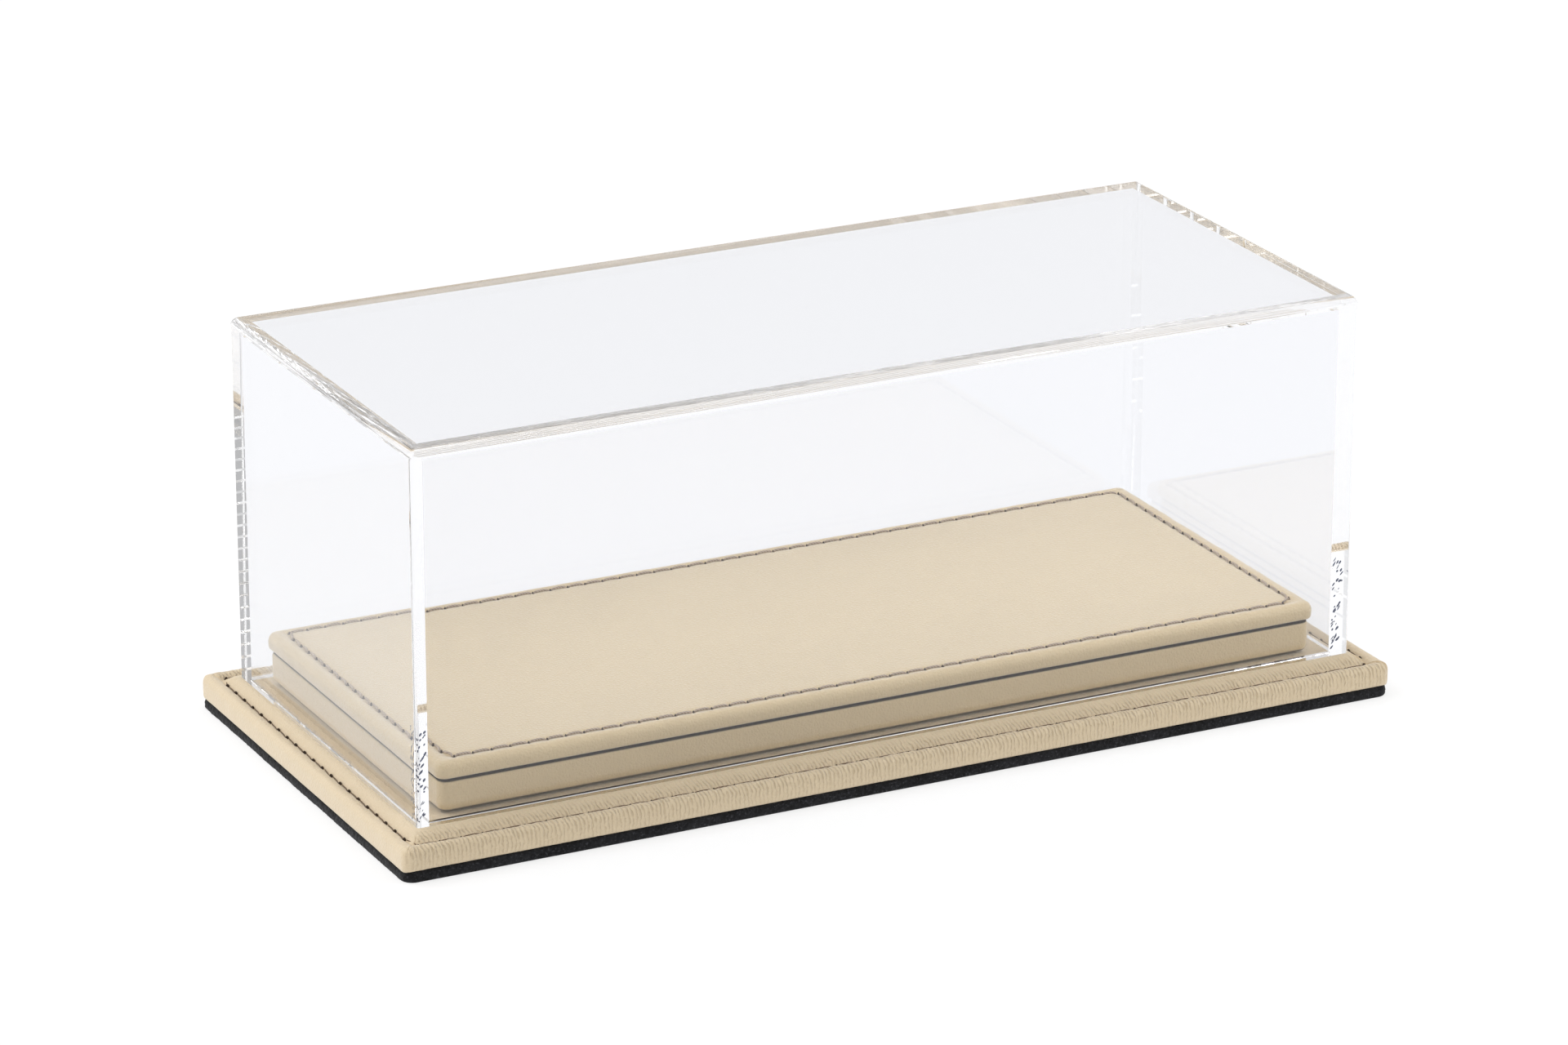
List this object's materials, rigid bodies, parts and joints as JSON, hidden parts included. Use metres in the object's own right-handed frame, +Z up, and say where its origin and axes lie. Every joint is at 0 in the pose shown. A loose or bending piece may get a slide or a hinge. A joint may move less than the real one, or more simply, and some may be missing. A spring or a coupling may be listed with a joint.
{
  "type": "scale model display case",
  "caption": "Clear lift-off display case over a leather-covered base and raised plinth with sewn edges, for showing a scale model.",
  "frame": {"origin": "centre of the underside of the base mat, on the surface that the case stands on", "axes": "+Z up, +X along the length of the case, -Y towards the front"},
  "size_m": [0.1588, 0.0754, 0.0614],
  "materials": {
    "clear_acrylic": "clear polished acrylic sheet",
    "leather": "beige leather, satin, fine grain",
    "base_thread": "dark brown sewing thread",
    "plinth_thread": "grey-brown sewing thread",
    "mat": "black foam mat, matt",
    "board": "fibreboard, raw",
    "screw_steel": "plain steel"
  },
  "bodies": {
    "base": {"base_mat": "mat", "base_board": "board", "base_leather": "leather", "base_stitching": "base_thread", "plinth_block_core": "board", "plinth_block_leather": "leather", "plinth_plate_board": "board", "plinth_plate_leather": "leather", "plinth_stitching": "plinth_thread", "plinth_screw_1": "screw_steel", "plinth_screw_2": "screw_steel", "plinth_screw_3": "screw_steel", "plinth_screw_4": "screw_steel"},
    "cover": {"cover_top_panel": "clear_acrylic", "cover_front_panel": "clear_acrylic", "cover_rear_panel": "clear_acrylic", "cover_left_panel": "clear_acrylic", "cover_right_panel": "clear_acrylic"}
  },
  "joints": [
    {"name": "cover_lift", "type": "slide", "parent": "base", "child": "cover", "axis": [0, 0, 1], "range_m": [0, 0.07]}
  ]
}
